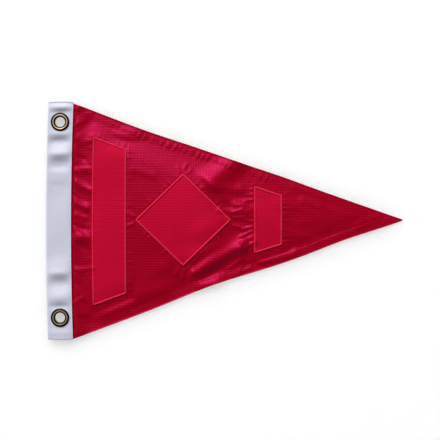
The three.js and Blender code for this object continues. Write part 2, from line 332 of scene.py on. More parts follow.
def besidePatch(name, x, y):
    # the largest of the signed distances to the four edges, and how far along that edge and how upright it is
    shape = np.broadcast(x, y).shape
    away, along, upright = np.full(shape, -1.0), np.zeros(shape), np.zeros(shape)
    for a, b in zip(corners[name], np.roll(corners[name], -1, axis=0)):
        run = (b - a) / np.hypot(*(b - a))
        distance = (x - a[0]) * run[1] - (y - a[1]) * run[0]
        nearer = distance > away
        away = np.where(nearer, distance, away)
        along = np.where(nearer, (x - a[0]) * run[0] + (y - a[1]) * run[1], along)
        upright = np.where(nearer, abs(run[1]), upright)
    return away, along, upright


def lie(x, y):
    # swells and folds, the folds fading near a patch, less what settles flat
    nearest = np.minimum.reduce([besidePatch(name, x, y)[0] for name in patches])
    ironing = ease((nearest - flag["ironed"]) / flag["ironFade"])
    return np.maximum(0, ridges(swells, x, y) + ridges(folds, x, y) * ironing - flag["settled"])


def unevenWave(s, spacing, seed):
    # three sines of nearly one spacing and random phases, squared off from 0 to 1, times a slow sine
    turns = np.random.default_rng(seed).uniform(0, tau, 4)
    wave = sum(np.sin(tau * s / (spacing * k) + turn) for k, turn in zip((0.79, 1.0, 1.31), turns))
    strength = 0.65 + 0.35 * np.sin(tau * s / (spacing * 5.3) + turns[3])
    return ease(0.5 + wave / 4) * strength


def hemDistances(x, y):
    # distance in from the top edge and from the bottom edge, square to them
    lean = np.cos(np.arctan(flyHigh[1] / flagLength))
    return (topEdge(x) - y) * lean, (y - bottomEdge(x)) * lean


def crown(x, y):
    # a parabola between the two long edges
    half = (topEdge(x) - bottomEdge(x)) / 2
    return flag["crown"] * half * np.clip(1 - np.square((y - bottomEdge(x)) / half - 1), 0, 1)


def billow(x, y):
    # a bell along each long edge, steeper on the edge's side, and past the patches the crown
    total = 0
    for (height, crest, steep), distance in zip(flag["billows"], hemDistances(x, y)):
        beyond = distance - crest
        total = total + height * bell(beyond / np.where(beyond < 0, steep, flag["slack"]))
    total = total * ease((x - flag["mouthX"]) / flag["comeIn"])
    total = total * ease((flag["billowEnd"] - x) / flag["longFade"])
    return total + crown(x, y) * ease((x - flag["crownStart"]) / flag["longFade"])


def inHem(distance):
    # 1 in the hem, easing to 0 over its step
    return 1 - ease((distance - hem["width"]) / hem["step"] + 0.5)


def seamPuckers(x, y):
    # fine, middling and broad waves along the seam, dying out away from it, and the creases out of it
    beyond = x - flag["mouthX"]
    away = np.abs(beyond)
    share, start, length = seam["turned"]
    fall = y + seam["slant"] * beyond * (1 - share * ease((y - start) / length))
    middling = np.exp(-away / seam["puckerLength"])
    fine = np.exp(-away / seam["fineLength"])
    broad = bell(beyond / seam["broadLength"]) * ease(beyond / seam["broadStart"])
    total = seam["pucker"] * unevenWave(fall, seam["puckerSpacing"], 3) * middling
    total = total + seam["fine"] * unevenWave(y, seam["fineSpacing"], 7) * fine
    total = total + seam["broad"] * unevenWave(fall, seam["broadSpacing"], 5) * broad
    return total + ridges(seamCreases, x, y) * ease(beyond / seam["creaseStart"])


def hemPuckers(x, y):
    # slanting waves along each hem's sewing, which fade in, and out again towards the tip
    total = 0
    line = hem["sewing"]
    for side, distance in enumerate(hemDistances(x, y)):
        start, end, share = hem["puckered"][side]
        s = x + hem["puckerSlant"] * distance
        across = ease(distance / line) * bell(np.maximum(0, distance - line) / hem["puckerReach"])
        fadeIn = hem["puckerLeast"] + (1 - hem["puckerLeast"]) * ease((x - start) / flag["longFade"])
        fadeOut = ease((end - x) / flag["longFade"])
        wave = unevenWave(s, hem["puckerSpacing"], 11 + side)
        total = total + hem["pucker"] * share * across * fadeIn * fadeOut * wave
    return total


def patchPuckers(look, away, along, upright, seed):
    # waves on one side of the upright edges, slowly stronger and weaker, dying out away from the sewing
    (start, length), (least, more) = patchCloth["puckerRise"], look["share"]
    slow = least + more * unevenWave(along, look["slow"], look["seed"] + seed)
    strength = upright * np.exp(-np.maximum(0, away) / look["length"]) * ease((away - start) / length) * slow
    return look["pucker"] * strength * unevenWave(along, patchCloth["puckerSpacing"], 21 + seed)


def flyPuckers(x, y):
    # the sum of all its puckers, easing out where it runs in under the tape
    total = seamPuckers(x, y) + hemPuckers(x, y)
    for seed, name in enumerate(patches):
        total = total + patchPuckers(patchCloth["outside"], *besidePatch(name, x, y), seed)
    return total * ease((x - flag["mouthX"] + seam["wavesInside"]) / seam["wavesInside"])


def flyUnder(x, y):
    # held between the tape's layers at the seam, easing down to the lie of the cloth and its puckers
    held = liftAt(heading["width"], y) + flag["seamHeight"]
    t = ease((x - flag["mouthX"]) / flag["seamFall"])
    down = lie(x, y) + billow(x, y) + ridges(creases, x, y)
    valley = seam["valley"] * bell((x - flag["mouthX"] - seam["valleyAt"]) / seam["valleyWidth"])
    uneven = hem["curlLeast"] + (1 - hem["curlLeast"]) * unevenWave(x, hem["curlSpacing"], 9)
    lifted = 0
    for curl, distance in zip(hem["curls"], hemDistances(x, y)):
        lifted = lifted + curl * (1 - ease(distance / hem["curlReach"])) * uneven
        lifted = lifted + hem["bead"] * (1 - ease(distance / hem["beadWidth"]))
    return np.maximum(0, held + (down - held) * t + flyPuckers(x, y) - valley) + lifted * t


def flyThick(x, y):
    # one layer, more in each hem, drawn in along the sewing, and the share of it left at the rounded edges
    top, bottom = hemDistances(x, y)
    pastMouth = ease((x - flag["mouthX"]) / hem["extraRise"])
    firmer = hem["firmer"] * ease((x - hem["firmerStart"]) / flag["comeIn"]) * inHem(bottom)
    full = flag["clothThick"] + hem["extra"] * (inHem(top) + inHem(bottom)) * pastMouth + firmer
    for distance in (top, bottom):
        full = full - hem["groove"] * pastMouth * bell((distance - hem["sewing"]) / hem["grooveWidth"])
    edge = np.minimum(np.minimum(top, bottom), flagLength - x) / hem["edgeRound"]
    rounding = np.sqrt(1 - np.square(1 - np.clip(edge, 0.03, 1)))
    return full, rounding


def flyFront(x, y):
    # height of the fly's front face
    return flyUnder(x, y) + flyThick(x, y)[0]


def bowed(x, y, z):
    # points in the part's frame: the bow is added and the hoist moved to its place
    return stacked(x + bowAt(x, y) + hoistX, y, z)


# Meshes


def addObject(name, data):
    # an object in the scene
    thing = bpy.data.objects.new(name, data)
    bpy.context.scene.collection.objects.link(thing)
    return thing


def addMesh(name, points, quads, uv=None, sharp=35):
    # only the points that the quads use are kept, and edges bent past the angle are sharp
    used, order = np.unique(quads.ravel(), return_inverse=True)
    mesh = bpy.data.meshes.new(name)
    mesh.vertices.add(len(used))
    mesh.vertices.foreach_set("co", points.reshape(-1, 3)[used].astype(np.float32).ravel())
    mesh.loops.add(len(order))
    mesh.loops.foreach_set("vertex_index", order.astype(np.int32))
    mesh.polygons.add(len(order) // 4)
    mesh.polygons.foreach_set("loop_start", np.arange(0, len(order), 4, dtype=np.int32))
    mesh.update(calc_edges=True)
    mesh.validate()
    if uv is not None:
        layer = mesh.uv_layers.new(name="cloth")
        layer.data.foreach_set("uv", uv.reshape(-1, 2)[used][order].astype(np.float32).ravel())
    mesh.shade_smooth()
    mesh.set_sharp_from_angle(angle=np.radians(sharp))
    return addObject(name, mesh)


def shellQuads(keep):
    # quads of two stacked grids: the kept cells above and below, and a wall where a kept cell ends
    n, m = keep.shape[0] + 1, keep.shape[1] + 1
    upper = np.arange(n * m).reshape(n, m)
    lower = upper + n * m
    i, j = np.nonzero(keep)
    front = [upper[i, j], upper[i + 1, j], upper[i + 1, j + 1], upper[i, j + 1]]
    back = [lower[i, j], lower[i, j + 1], lower[i + 1, j + 1], lower[i + 1, j]]
    quads = [stacked(*front), stacked(*back)]
    padded = np.pad(keep, 1)
    for axis in (0, 1):
        before = padded[:-1, 1:-1] if axis == 0 else padded[1:-1, :-1]
        after = padded[1:, 1:-1] if axis == 0 else padded[1:-1, 1:]
        for side, where in enumerate((after & ~before, before & ~after)):
            i, j = np.nonzero(where)
            end = (i, j + 1) if axis == 0 else (i + 1, j)
            wall = [upper[i, j], upper[end], lower[end], lower[i, j]]
            if side != axis:
                wall = wall[::-1]
            quads.append(stacked(*wall))
    return np.concatenate(quads)


def addShell(name, front, back, keep=None, uv=None):
    # a closed skin between two grids of points
    if keep is None:
        keep = np.ones((front.shape[0] - 1, front.shape[1] - 1), bool)
    doubled = None if uv is None else np.stack([uv, uv])
    return addMesh(name, np.stack([front, back]), shellQuads(keep), doubled)


def tubeQuads(count, rings, sides, loop=False):
    # quads of tubes of the same layout, going round each, with their two ends closed by fans
    ids = np.arange(count * rings * sides).reshape(count, rings, sides)
    a = ids if loop else ids[:, :-1]
    b = np.roll(ids, -1, axis=1) if loop else ids[:, 1:]
    quads = [stacked(a, np.roll(a, -1, axis=2), np.roll(b, -1, axis=2), b).reshape(-1, 4)]
    if not loop:
        for ring, step in ((0, -1), (rings - 1, 1)):
            quads += [ids[:, ring, [0, k, k + 1, k + 2]][:, ::step] for k in range(1, sides - 2, 2)]
    return np.concatenate(quads)


# Materials


def setInputs(tree, node, inputs):
    # each input is given as a value, as a colour of three parts or as a socket to link from
    for key, value in inputs.items():
        socket = node.inputs[key]
        if isinstance(value, bpy.types.NodeSocket):
            tree.links.new(value, socket)
        else:
            socket.default_value = (*value, 1) if socket.type == "RGBA" else value


def addNode(tree, kind, inputs=None, **settings):
    # the outputs of a new shader node with its settings and its inputs
    node = tree.nodes.new("ShaderNode" + kind)
    for key, value in settings.items():
        setattr(node, key, value)
    setInputs(tree, node, inputs or {})
    return node.outputs


def addMath(tree, operation, *values):
    # one Math node's result
    return addNode(tree, "Math", dict(enumerate(values)), operation=operation)[0]


def mapRange(tree, value, start, end, low, high, way="LINEAR"):
    # from low, where the value is at its start, to high, where it is at its end
    inputs = {"Value": value, "From Min": start, "From Max": end, "To Min": low, "To Max": high}
    return addNode(tree, "MapRange", inputs, interpolation_type=way)[0]


def mixColour(tree, amount, low, high):
    # low where the amount is 0 and high where it is 1
    return addNode(tree, "Mix", {0: amount, 6: low, 7: high}, data_type="RGBA")[2]


def bumped(tree, height, strength, distance):
    # the normal of a surface raised by the height times the distance
    inputs = {"Height": height, "Strength": strength, "Distance": distance}
    return addNode(tree, "Bump", inputs)[0]


def newGroup(name, inputs, outputs):
    # a shader node group that takes a place and numbers with their usual values, and gives numbers
    group = bpy.data.node_groups.new(name, "ShaderNodeTree")
    group.interface.new_socket("Place", in_out="INPUT", socket_type="NodeSocketVector")
    for label, value in inputs.items():
        group.interface.new_socket(label, in_out="INPUT", socket_type="NodeSocketFloat").default_value = value
    for label in outputs:
        group.interface.new_socket(label, in_out="OUTPUT", socket_type="NodeSocketFloat")
    return group, group.nodes.new("NodeGroupInput").outputs, group.nodes.new("NodeGroupOutput")


def lineAcross(tree, along, pitch, width):
    # 1 on a line of that width at every pitch, easing to 0 beside it
    fromLine = addMath(tree, "PINGPONG", addMath(tree, "DIVIDE", along, pitch), 0.5)
    reach = addMath(tree, "DIVIDE", width, pitch)
    return mapRange(tree, fromLine, 0, reach, 1, 0, "SMOOTHSTEP")


def ripstopGroup():
    # a plain weave with thick yarns at every pitch: masks of the thick yarns, and a height
    usual = {"Pitch": 3.38 * mm, "Rib Width": 0.7 * mm, "Yarn Pitch": 0.42 * mm, "Yarn Share": 0.08}
    group, start, end = newGroup("ripstopWeave", usual, ("Ribs", "Cross Ribs", "Height"))
    across, along, _ = addNode(group, "SeparateXYZ", {0: start["Place"]})
    ribs = lineAcross(group, along, start["Pitch"], start["Rib Width"])
    crossRibs = lineAcross(group, across, start["Pitch"], start["Rib Width"])
    yarns = []
    for way in (across, along):
        turns = addMath(group, "DIVIDE", way, start["Yarn Pitch"])
        yarns.append(addMath(group, "SINE", addMath(group, "MULTIPLY", turns, tau)))
    weave = addMath(group, "MULTIPLY", addMath(group, "MULTIPLY", *yarns), start["Yarn Share"])
    height = addMath(group, "ADD", addMath(group, "MAXIMUM", ribs, crossRibs), weave)
    setInputs(group, end, {"Ribs": ribs, "Cross Ribs": crossRibs, "Height": height})
    return group


def mottleGroup():
    # slow noise at two scales, from about 0 to 1, for uneven dye, light wear and dust
    group, start, end = newGroup("mottle", {"Broad Scale": 14.0, "Fine Scale": 240.0}, ("Broad", "Fine"))
    for label, detail in (("Broad", 2.0), ("Fine", 3.0)):
        inputs = {"Vector": start["Place"], "Scale": start[label + " Scale"], "Detail": detail}
        setInputs(group, end, {label: addNode(group, "TexNoise", inputs)[0]})
    return group


ripstopWeave = ripstopGroup()
mottle = mottleGroup()


def newMaterial(name):
    # an empty material, its tree and its Principled shader
    material = bpy.data.materials.new(name)
    material.use_nodes = True
    return material, material.node_tree, material.node_tree.nodes["Principled BSDF"]


def useGroup(tree, group, place, inputs=None):
    # the outputs of one of the two groups at a place
    return addNode(tree, "Group", {"Place": place, **(inputs or {})}, node_tree=group)


def ripstop(name, look):
    # dyed nylon: darker and lighter in slow patches, with thick yarns raised and painted paler, a painted
    # sheen on them
    material, tree, shader = newMaterial(name)
    place = addNode(tree, "TexCoord")["Object"]
    weave = useGroup(tree, ripstopWeave, place)
    uneven = useGroup(tree, mottle, place)
    dyed = mixColour(tree, uneven["Broad"], look["deep"], look["bright"])
    # painted sheen: the thick yarns lighter than the cloth
    ribSheenShare = addMath(tree, "MULTIPLY", weave["Ribs"], look["ribSheenShare"])
    crossSheenShare = addMath(tree, "MULTIPLY", weave["Cross Ribs"], look["crossSheenShare"])
    setInputs(tree, shader, {
        "Base Color": mixColour(tree, addMath(tree, "MAXIMUM", ribSheenShare, crossSheenShare), dyed, look["ribSheen"]),
        "Roughness": mapRange(tree, uneven["Fine"], 0, 1, *look["roughness"]),
        "Normal": bumped(tree, weave["Height"], look["bump"], 0.12 * mm),
        "Specular IOR Level": look["specular"],
        "Specular Tint": look["specularTint"],
        "IOR": 1.55,
    })
    return material


crimsonRipstop = ripstop("crimson ripstop", {
    "deep": (0.232, 0.0002, 0.005), "bright": (0.275, 0.0004, 0.009), "ribSheen": (0.37, 0.002, 0.022),
    "ribSheenShare": 0.55, "crossSheenShare": 0.16, "roughness": (0.28, 0.40), "bump": 0.5,
    "specular": 1.0, "specularTint": (1.0, 0.05, 0.27),
})
scarletRipstop = ripstop("scarlet ripstop", {
    "deep": (0.35, 0.0015, 0.015), "bright": (0.40, 0.0022, 0.022), "ribSheen": (0.46, 0.006, 0.04),
    "ribSheenShare": 0.38, "crossSheenShare": 0.38, "roughness": (0.36, 0.48), "bump": 0.5,
    "specular": 0.7, "specularTint": (1.0, 0.04, 0.16),
})
tapeLook = {
    "weave": {"Pitch": 0.75 * mm, "Rib Width": 0.3 * mm, "Yarn Pitch": 0.5 * mm, "Yarn Share": 0.6},
    "deep": (0.443, 0.466, 0.538),
    "bright": (0.492, 0.517, 0.585),
    "yarnHighlight": (0.60, 0.60, 0.70),
    "yarnHighlightShare": 0.12,
    "greyed": (0.20, 0.20, 0.29),
    "greyedShare": 0.8,
    "greyedEnd": (1.6 * mm, 0.6 * mm),  # fades in between these depths from a cut end
    "bump": 0.4,
}


def wovenTape():
    # white cotton tape: a fine plain weave in slow patches, its raised yarns painted lighter as a highlight,
    # slightly grey at its cut ends
    look = tapeLook
    material, tree, shader = newMaterial("white woven tape")
    place = addNode(tree, "UVMap", uv_map="cloth")[0]
    weave = useGroup(tree, ripstopWeave, place, look["weave"])
    uneven = useGroup(tree, mottle, place)
    colour = mixColour(tree, uneven["Broad"], look["deep"], look["bright"])
    # painted highlight: lighter where the weave stands high
    yarnHighlight = addMath(tree, "MULTIPLY", weave["Height"], look["yarnHighlightShare"])
    woven = mixColour(tree, yarnHighlight, colour, look["yarnHighlight"])
    fromMiddle = addMath(tree, "ABSOLUTE", addNode(tree, "SeparateXYZ", {0: place})[1])
    greyedEnd = [halfHoist - inset for inset in look["greyedEnd"]]
    greyed = mapRange(tree, fromMiddle, *greyedEnd, 0, look["greyedShare"])
    setInputs(tree, shader, {
        "Base Color": mixColour(tree, greyed, woven, look["greyed"]),
        "Normal": bumped(tree, weave["Height"], look["bump"], 0.12 * mm),
        "Roughness": 0.75,
        "Specular IOR Level": 0.25,
    })
    return material


def thread(name, colour, roughness, specular=0.25, tint=(1, 1, 1), pitch=None):
    # twisted thread: uneven plies with painted shade between them, or laid side by side at a pitch, with
    # painted shade between the stitches
    material, tree, shader = newMaterial(name)
    place = addNode(tree, "TexCoord")["Object"]
    height = useGroup(tree, mottle, place, {"Fine Scale": 2600.0})["Fine"]
    if pitch:
        cloth = addNode(tree, "UVMap", uv_map="cloth")[0]
        along = addNode(tree, "SeparateXYZ", {0: cloth})[0]
        height = addMath(tree, "MULTIPLY_ADD", height, 0.3, lineAcross(tree, along, pitch, 0.5 * pitch))
    # painted shade: the colour darkens where the bump is low
    grooveShade = tuple(0.72 * part for part in colour)
    setInputs(tree, shader, {
        "Base Color": mixColour(tree, height, grooveShade, colour),
        "Normal": bumped(tree, height, 0.3, 0.1 * mm),
        "Roughness": roughness,
        "Specular IOR Level": specular,
        "Specular Tint": tint,
    })
    return material


brassLook = {
    "mottle": {"Broad Scale": 160.0, "Fine Scale": 1500.0},
    "patchiness": 0.5,
    "metalShowing": (0.2, 0.8),  # from no metal showing to metal alone
    # near-black, which stands for painted shade and painted dark reflections on the eyelets' flanks
    "darkToneAndShade": (0.010, 0.006, 0.004),
    "metal": (0.80, 0.55, 0.32),
    "roughness": (0.24, 0.4),
}


def shadedBrass():
    # dark brass with painted shade, going over to bright metal where its attribute is 1: a painted highlight
    # on an eyelet's crown, a fixed wear on a washer
    look = brassLook
    material, tree, shader = newMaterial("brass with painted highlight and shade")
    place = addNode(tree, "TexCoord")["Object"]
    uneven = useGroup(tree, mottle, place, look["mottle"])
    wearAndHighlight = addNode(tree, "Attribute", attribute_name="wearAndHighlight")["Fac"]
    offset = addMath(tree, "MULTIPLY", addMath(tree, "SUBTRACT", uneven["Broad"], 0.5), look["patchiness"])
    patchy = addMath(tree, "ADD", wearAndHighlight, offset)
    metalShowing = mapRange(tree, patchy, *look["metalShowing"], 0, 1)
    setInputs(tree, shader, {
        "Base Color": mixColour(tree, metalShowing, look["darkToneAndShade"], look["metal"]),
        "Roughness": mapRange(tree, uneven["Fine"], 0, 1, *look["roughness"]),
        "Metallic": 0.75,
    })
    return material


whiteTape = wovenTape()
redThread = thread("red thread", (0.30, 0.004, 0.015), 0.45)
satinThread = thread(
    "satin thread", (0.58, 0.015, 0.044), 0.38, specular=0.8, tint=(1.0, 0.10, 0.28), pitch=0.6 * mm,
)
whiteThread = thread("white thread", (0.66, 0.68, 0.76), 0.5)
brass = shadedBrass()


def finish(piece, material, slot, *nodes):
    # the piece gets its material, rides on the flag and stands for its solids; its slot is not used
    piece.data.materials.append(material)
    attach(piece, "root")
    if nodes:
        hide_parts(*nodes)
    return piece


# Fly


def spans(stops, counts):
    # that many evenly spaced values from each stop to the next, and the last stop
    rows = [np.linspace(a, b, count, endpoint=False) for a, b, count in zip(stops, stops[1:], counts)]
    return np.concatenate([*rows, stops[-1:]])


def flyGrid():
    # columns close together over the folds and at the tip, and rows close together across each hem
    mouth = flag["mouthX"]
    stops = [flag["slotX"], mouth, mouth + 6 * mm, 300 * mm, 400 * mm, flagLength - 1 * mm]
    tip = flagLength - np.array([0.5, 0.2, 0.0]) * mm
    x = np.concatenate([spans(stops, (4, 14, 162, 48, 38)), tip])[:, None]
    lean = 1.06  # a step up the hoist is this much longer than one square to the edge
    across = np.array([
        0, 0.1, 0.3, 0.6, 1.1, 2, 3.2, 4.6, 6, 7.2, 8.2, 8.7, 9.1, 9.5, 10, 10.5, 11, 11.5, 12.4, 14,
    ]) * mm * lean
    low, high = bottomEdge(x), topEdge(x)
    squeeze = np.minimum(1, (high - low) / (3 * hem["width"]))
    inner = np.linspace(0, 1, 112)[1:-1]
    first, last = low + squeeze * across[-1], high - squeeze * across[-1]
    middle = first + (last - first) * inner
    y = np.concatenate([low + squeeze * across, middle, high - squeeze * across[::-1]], axis=1)
    return np.broadcast_to(x, y.shape), y


def makeFly():
    # one closed sheet: its back is the lie of the cloth, and its front is one thickness above
    x, y = flyGrid()
    under = flyUnder(x, y)
    full, rounding = flyThick(x, y)
    middle = under + full / 2
    front = bowed(x, y, middle + rounding * full / 2)
    back = bowed(x, y, middle - rounding * full / 2)
    return finish(addShell("flySheet", front, back), crimsonRipstop, "fly_cloth", "fly_cloth")


print("fly")
flySheet = makeFly()

# Heading


def headingSurface(s, y, radius):
    # s runs from -1 at the back mouth, round the fold at that radius, to 1 at the front mouth
    fold, width = heading["foldOuter"], heading["width"]
    bend = fold * np.pi / 2
    along = s * (bend + width - fold)
    turn = np.clip(along / bend, -1, 1) * np.pi / 2
    past = np.maximum(0, np.abs(along) - bend)
    x = fold - radius * np.cos(turn) + past
    side = np.sin(turn)
    drawn = heading["pinch"] * ease((x - width + heading["pinchReach"]) / heading["pinchReach"])
    drawn = drawn + heading["groove"] * bell((x - heading["sewing"]) / heading["grooveWidth"])
    front = np.maximum(0, side) * np.sin(np.pi * np.clip(x / width, 0, 1))
    bulge = front * sum(height * bell((y - at) / spread) for at, height, spread in frontWaves)
    z = liftAt(x, y) + fold + (radius - drawn) * side + bulge
    middle = (width + fold) / 2
    nearEnd = ease((np.abs(y) - halfHoist) / heading["archReach"] + 1)
    arch = heading["endArch"] * np.square(x / middle - 1) * nearEnd
    return x, y - np.sign(y) * arch, z


def makeHeading():
    # the tape's two faces at two radii about its fold, with a hole through both layers at each eyelet
    bend, fold = 0.09, heading["foldOuter"]
    s = spans([-1, -bend, bend, 1], (34, 14, 34))[:, None]
    y = np.linspace(-halfHoist, halfHoist, 241)[None, :]
    front, back = [bowed(*headingSurface(s, y, radius)) for radius in (fold, fold - heading["tapeThick"])]
    centre = (front[1:, 1:] + front[:-1, :-1]) / 2
    keep = np.ones(centre.shape[:2], bool)
    for name in ("upper_eyelet", "lower_eyelet"):
        middle = sum(nodeBox(name)) / 2
        keep &= np.hypot(centre[..., 0] - middle[0], centre[..., 1] - middle[1]) > heading["holeRadius"]
    uv = stacked(s * heading["width"], y)
    return finish(addShell("headingTape", front, back, keep, uv), whiteTape, "heading_tape", "heading")


print("heading")
headingTape = makeHeading()

# Patches


def patchGrid(name):
    # evenly spaced rows and columns between the four corners, each point a mix of the corners
    c = corners[name]
    step = patchCloth["gridStep"]
    counts = [int(np.hypot(*(c[k] - c[0])) / step) for k in (1, 3)]
    u, v = [np.linspace(0, 1, count + 1) for count in counts]
    u, v = u[:, None, None], v[None, :, None]
    grid = (c[0] * (1 - u) + c[1] * u) * (1 - v) + (c[3] * (1 - u) + c[2] * u) * v
    return grid[..., 0], grid[..., 1]


def makePatch(name, seed):
    # a closed sheet laid on the fly, with puckers inside its upright edges
    x, y = patchGrid(name)
    away, along, upright = besidePatch(name, x, y)
    waves = patchPuckers(patchCloth["inside"], -away, along, upright, seed)
    under = flyUnder(x, y) + flag["clothThick"] + patchCloth["gap"] + waves
    front, back = bowed(x, y, under + patchCloth["thick"]), bowed(x, y, under)
    return finish(addShell(name.replace("_", "") + "Cloth", front, back), scarletRipstop, "patch_cloth", name)


satin = {
    "width": 2.5 * mm,
    "height": 1.4 * mm,
    "sunk": 0.075 * mm,  # under the cloth's face
    "fullness": 0.75,  # the dome's power: under 1 is fuller than an ellipse
    "dip": 0.06,
    "slant": 0.15,
    "pitch": 0.6 * mm,
    "stepsPerStitch": 3,
    "cornerRadius": 1.2 * mm,
}


def runLengths(path):
    # the length along a path up to each of its points
    return np.concatenate([[0], np.cumsum(np.hypot(*np.diff(path, axis=0).T))])


def pointsAlong(path, s):
    # x and y at the lengths s along a path
    lengths = runLengths(path)
    return [np.interp(s, lengths, path[:, k]) for k in (0, 1)]


def roundedPath(points, radius, step):
    # straight sides joined by circular corners, as evenly spaced points and the direction at each
    sides = np.roll(points, -1, axis=0) - points
    ways = sides / np.hypot(*sides.T)[:, None]
    route = []
    for corner, before, after in zip(points, np.roll(ways, 1, axis=0), ways):
        turn = np.arctan2(before[0] * after[1] - before[1] * after[0], before @ after)
        reach = radius * np.tan(abs(turn) / 2)
        angles = np.linspace(0, turn, 9)
        cos, sin = np.cos(angles), np.sin(angles)
        arm = -radius * np.sign(turn) * np.array([-before[1], before[0]])
        centre = corner - before * reach - arm
        route.append(centre + stacked(arm[0] * cos - arm[1] * sin, arm[0] * sin + arm[1] * cos))
    closed = np.concatenate([*route, route[0][:1]])
    length = runLengths(closed)[-1]
    s = np.linspace(0, length, int(round(length / step)), endpoint=False)
    path = stacked(*pointsAlong(closed, s))
    way = np.roll(path, -1, axis=0) - np.roll(path, 1, axis=0)
    return path, way / np.hypot(*way.T)[:, None], s


def makeSatinEdge(name):
    # a domed band carried round the patch's edge, its height dipping between one stitch and the next
    step = satin["pitch"] / satin["stepsPerStitch"]
    path, way, s = roundedPath(corners[name], satin["cornerRadius"], step)
    turn = np.linspace(0, tau, 12, endpoint=False)[None, :]
    out = np.cos(turn) * satin["width"] / 2
    x = path[:, :1] + way[:, 1:] * out
    y = path[:, 1:] - way[:, :1] * out
    lean = s[:, None] + satin["slant"] * out
    height = satin["height"] * (1 - satin["dip"] + satin["dip"] * np.cos(tau * lean / satin["pitch"]))
    up = np.sin(turn)
    rise = np.where(up > 0, np.maximum(0, up) ** satin["fullness"] * height, up * satin["sunk"])
    base = flyUnder(path[:, :1], path[:, 1:]) + flag["clothThick"] + patchCloth["gap"]
    points = bowed(x, y, base + rise)
    quads = tubeQuads(1, len(path), points.shape[1], loop=True)[:, ::-1]
    uv = stacked(lean, out)
    return finish(addMesh(name.replace("_", "") + "Edge", points, quads, uv, 60), satinThread, "patch_cloth")


print("patches")
patchSheets, satinEdges = {}, {}
for seed, name in enumerate(patches):
    patchSheets[name] = makePatch(name, seed)
    satinEdges[name] = makeSatinEdge(name)

# Sewing

stitch = {
    "pitch": 2.9 * mm,
    "length": 2.4 * mm,
    "radius": 0.2 * mm,
    "rise": 0.16 * mm,
    "sink": 0.192 * mm,  # of its two ends
    "endShare": 0.35,  # of its radius there
    "rings": 7,
    "sides": 6,
}


def stitchRow(name, path, height, material, slot):
    # short bent threads along a path: each rises out of the cloth and goes back in, thinner at its ends
    starts = np.arange(stitch["pitch"] / 2, runLengths(path)[-1] - stitch["pitch"], stitch["pitch"])[:, None]
    t = np.linspace(0, 1, stitch["rings"])[None, :]
    x, y = pointsAlong(path, starts + t * stitch["length"])
    wayX, wayY = np.gradient(x, axis=1), np.gradient(y, axis=1)
    size = np.hypot(wayX, wayY)
    z = height(x, y) + (stitch["rise"] + stitch["sink"]) * np.sin(np.pi * t) - stitch["sink"]
    swelling = np.sqrt(np.sin(np.pi * np.clip(t, 0.02, 0.98)))
    radius = stitch["radius"] * (stitch["endShare"] + (1 - stitch["endShare"]) * swelling)
    turn = np.arange(stitch["sides"]) * tau / stitch["sides"]
    parts = (x, y, z, radius, -wayY / size, wayX / size)
    x, y, z, radius, acrossX, acrossY = [part[..., None] for part in parts]
    out = radius * np.cos(turn)
    points = bowed(x + acrossX * out, y + acrossY * out, z + radius * np.sin(turn))
    quads = tubeQuads(len(starts), stitch["rings"], stitch["sides"])
    return finish(addMesh(name, points, quads, sharp=80), material, slot)


def hemPath(edge, side):
    # the long edge moved in to the sewing, from the mouth to where the two rows meet
    x = np.linspace(flag["mouthX"] + 1 * mm, flagLength - 30 * mm, 400)
    slope = np.gradient(edge(x), x)
    return stacked(x, edge(x) + side * hem["sewing"] * np.sqrt(1 + slope * slope))


def seamPath():
    # a line up the front of the tape, inside its mouth
    y = np.linspace(-halfHoist + 2 * mm, halfHoist - 2 * mm, 300)
    return stacked(heading["sewing"], y)


def seamFront(x, y):
    # the tape's front at its sewing, drawn in by the groove and by most of the pinch
    return liftAt(x, y) + 2 * heading["foldOuter"] - heading["groove"] - 0.6 * heading["pinch"]


print("sewing")
topHemSewing = stitchRow("topHemSewing", hemPath(topEdge, -1), flyFront, redThread, "fly_cloth")
bottomHemSewing = stitchRow("bottomHemSewing", hemPath(bottomEdge, 1), flyFront, redThread, "fly_cloth")
seamSewing = stitchRow("seamSewing", seamPath(), seamFront, whiteThread, "heading_tape")

# Eyelets

eyelet = {
    "holeRadius": 6.35 * mm,
    "barrelRadius": 7.0 * mm,
    "crownRadius": 8.9 * mm,
    "rimHeight": 1.4 * mm,
    "rimThick": 0.45 * mm,
    "curlRadius": 9.2 * mm,
    "curlHeight": 0.7 * mm,
    "fillet": 0.3 * mm,  # between the barrel and the rim
    "curlFillet": 0.2 * mm,
    "flare": 0.9 * mm,  # from the rim's level down to the straight of the bore
    # the width of the painted highlight over the rim's crown
    "highlightWidth": 0.66 * mm,
    "washerWorn": 0.35,
    "washerGap": 0.3 * mm,
    "sides": 96,
}


def turned(node, profile, wearAndHighlight):
    # a closed profile of (radius, height) points, each with its share of bright metal (a painted highlight on
    # an eyelet, a fixed wear on a washer), turned about the node's axis
    turn = np.linspace(0, tau, eyelet["sides"], endpoint=False)[:, None]
    middle = sum(nodeBox(node)) / 2
    radius, height = profile.T
    points = stacked(middle[0] + radius * np.cos(turn), middle[1] + radius * np.sin(turn), height)
    quads = tubeQuads(1, eyelet["sides"], len(profile), loop=True)[:, ::-1]
    side, kind = node.split("_")
    piece = addMesh(side + kind.title(), points, quads, sharp=50)
    layer = piece.data.attributes.new("wearAndHighlight", "FLOAT", "POINT")
    layer.data.foreach_set("value", np.tile(wearAndHighlight, eyelet["sides"]).astype(np.float32))
    return finish(piece, brass, "eyelet_brass", node)


def arc(centre, radii, start, stop, count):
    # points of an ellipse's arc between two angles in degrees
    turn = np.radians(np.linspace(start, stop, count))
    return stacked(centre[0] + radii[0] * np.cos(turn), centre[1] + radii[1] * np.sin(turn))


